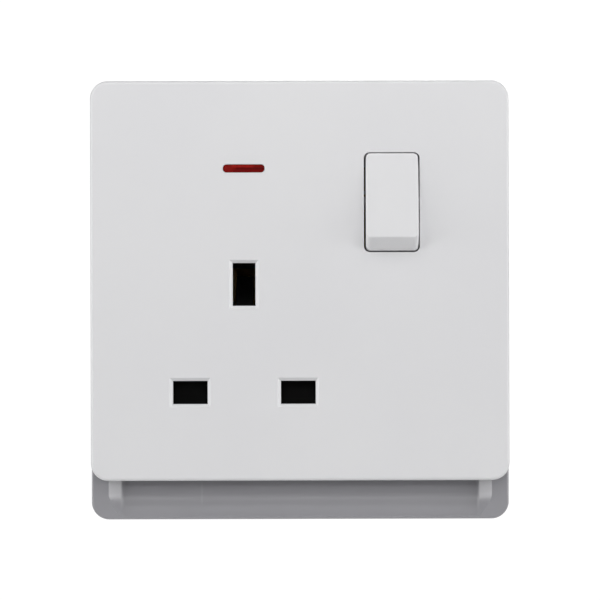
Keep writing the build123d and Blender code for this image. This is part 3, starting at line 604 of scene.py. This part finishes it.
def screw_head(bm, radius, height):
    """Round head on the plane Z = 0, with a driver slot along X across its top."""
    bmesh.ops.create_circle(bm, cap_ends=True, radius=radius, segments=round_steps)
    for side in (-1, 1):
        geom = bm.verts[:] + bm.edges[:] + bm.faces[:]
        bmesh.ops.bisect_plane(bm, geom=geom, plane_co=(0, side * driver_slot / 2, 0), plane_no=(0, 1, 0))
    low = bmesh.ops.extrude_face_region(bm, geom=bm.faces[:])
    bmesh.ops.translate(bm, verts=new_of(bmesh.types.BMVert, low), vec=(0, 0, height - driver_slot_depth))
    lands = [face for face in new_of(bmesh.types.BMFace, low)
             if abs(face.calc_center_median().y) > driver_slot / 2]
    top = bmesh.ops.extrude_face_region(bm, geom=lands)
    bmesh.ops.delete(bm, geom=lands, context="FACES_ONLY")
    bmesh.ops.translate(bm, verts=new_of(bmesh.types.BMVert, top), vec=(0, 0, driver_slot_depth))
    outer = 0.99 * radius
    rim = [edge for edge in new_of(bmesh.types.BMEdge, top)
           if edge.calc_length() < radius and all(vertex.co.xy.length > outer for vertex in edge.verts)]
    bmesh.ops.bevel(
        bm, geom=rim, offset=head_rim, affect="EDGES", segments=head_rim_steps, profile=0.5, material=-1,
        clamp_overlap=True)


def screw_shank(bm, radius, length):
    """Threaded shank below the plane Z = 0."""
    root = radius - thread_depth
    ridge = [bm.verts.new((r, 0, z)) for r, z in (
        (root, 0), (radius, -thread_pitch / 2), (root, -thread_pitch))]
    edges = [bm.edges.new(pair) for pair in zip(ridge, ridge[1:])]
    steps = int((length / thread_pitch - 1) * thread_steps)
    bmesh.ops.spin(
        bm, geom=ridge + edges, cent=(0, 0, 0), axis=(0, 0, 1), dvec=(0, 0, -thread_pitch / thread_steps),
        angle=2 * math.pi * steps / thread_steps, steps=steps)
    core = Matrix.Translation((0, 0, -length / 2))
    bmesh.ops.create_cone(
        bm, cap_ends=True, segments=round_steps, radius1=root, radius2=root, depth=length, matrix=core)


def add_screws(node, head_height, shank_radius):
    """Slotted screws in place of a CAD node's plain ones. Their heads face the back."""
    bm = bmesh.new()
    to_back = Matrix.Rotation(math.radians(-90), 4, "X")
    for low, high in solid_boxes(node):
        one = bmesh.new()
        screw_head(one, (high.x - low.x) / 2, head_height)
        screw_shank(one, shank_radius, high.y - low.y - head_height)
        seat = Vector(((low.x + high.x) / 2, high.y - head_height, (low.z + high.z) / 2))
        bmesh.ops.transform(one, matrix=Matrix.Translation(seat) @ to_back, verts=one.verts)
        kept = bpy.data.meshes.new("one_screw")
        one.to_mesh(kept)
        one.free()
        bm.from_mesh(kept)
        bpy.data.meshes.remove(kept)
    add_piece("slotted_" + node, bm, zinc_steel, "frame", node)


# Neon lamp's electrodes
electrode_radius = 0.28 * mm
electrode_offset = 0.65 * mm
electrode_share = 0.62
electrode_steps = 24


def add_electrodes():
    """Two rods inside the lamp, one from each end, side by side in its middle."""
    low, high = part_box("neon_lamp")
    middle = (low + high) / 2
    length = electrode_share * (high.x - low.x)
    bm = bmesh.new()
    along_x = Matrix.Rotation(math.radians(90), 4, "Y")
    for side in (-1, 1):
        end = low.x if side < 0 else high.x
        at = Vector((end - side * length / 2, middle.y, middle.z + side * electrode_offset))
        bmesh.ops.create_cone(
            bm, cap_ends=True, segments=electrode_steps, radius1=electrode_radius, radius2=electrode_radius,
            depth=length - 2 * electrode_radius, matrix=Matrix.Translation(at) @ along_x)
    add_piece("lamp_electrodes", bm, spring_steel, "frame")


# Wiring marks moulded beside the wire entries, drawn as strokes in a unit box
mark_height = 3.0 * mm
mark_stroke = 0.5 * mm
mark_proud = 0.25 * mm
mark_drop = 4.2 * mm
mark_strokes = {
    "live_terminal": ((0, 1, 0, 0), (0, 0, 0.6, 0)),
    "neutral_terminal": ((0, 0, 0, 1), (0, 1, 0.65, 0), (0.65, 0, 0.65, 1)),
    "earth_terminal": (
        (0.35, 1, 0.35, 0.5), (0, 0.5, 0.7, 0.5), (0.12, 0.25, 0.58, 0.25), (0.24, 0, 0.46, 0)),
}


def add_wiring_marks():
    """Live, neutral and earth marks under the housing, in front of each wire entry."""
    bm = bmesh.new()
    under_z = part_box("rear_housing")[0].z
    for node, strokes in mark_strokes.items():
        low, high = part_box(node)
        width = max(max(stroke[0], stroke[2]) for stroke in strokes) * mark_height
        corner = Vector(((low.x + high.x - width) / 2, low.y - mark_drop, under_z))
        for x0, y0, x1, y1 in strokes:
            start, end = Vector((x0, -y0, 0)) * mark_height, Vector((x1, -y1, 0)) * mark_height
            run = end - start
            size = Matrix.Diagonal((run.length + mark_stroke, mark_stroke, 2 * mark_proud, 1))
            turn = Matrix.Rotation(math.atan2(run.y, run.x), 4, "Z")
            place = Matrix.Translation(corner + (start + end) / 2)
            bmesh.ops.create_cube(bm, size=1, matrix=place @ turn @ size)
    add_piece("wiring_marks", bm, housing, "frame")


for screws in screw_sets:
    add_screws(*screws)
add_electrodes()
add_wiring_marks()

# Finish of every CAD node
finish_of_node = {
    "front_cover": white_cover,
    "rocker": white_rocker,
    "mounting_frame": grey_frame,
    "rear_housing": housing,
    "shutter": shutter_black_painted_shade,
    "rocker_plunger": nylon,
    "neon_lens": red_lens,
    "neon_lamp": lamp_glass,
    "neon_resistor": resistor_lacquer,
    "neon_lead_neutral": sleeve,
    "neon_lead_link": sleeve,
    "neon_lead_live": sleeve,
    "housing_screws": zinc_steel,
    "terminal_screws": zinc_steel,
    "contact_pivot_pin": zinc_steel,
    "shutter_spring": spring_steel,
    "rocker_spring": spring_steel,
    "moving_tip": silver_tip,
    "fixed_tip": silver_tip,
    "clip_rivets": turned_brass,
    "neutral_terminal": turned_brass,
    "earth_terminal": turned_brass,
    "live_terminal": turned_brass,
    "neutral_strip": strip_brass,
    "earth_strip": strip_brass,
    "live_strip": strip_brass,
    "switch_bridge": strip_brass,
    "moving_contact": strip_brass,
    "neutral_clip": strip_brass,
    "live_clip": strip_brass,
    "earth_clip": earth_brass_painted_glint,
}
for name, piece in nodes.items():
    piece.material_slots[0].material = finish_of_node[name].material

make_camera()
scene.view_settings.view_transform = "Standard"
make_surround()
make_floor()
for box in overhead_boxes:
    overhead_box(*box)
for box in side_boxes:
    side_pair(*box)
soft_box(*back_box)
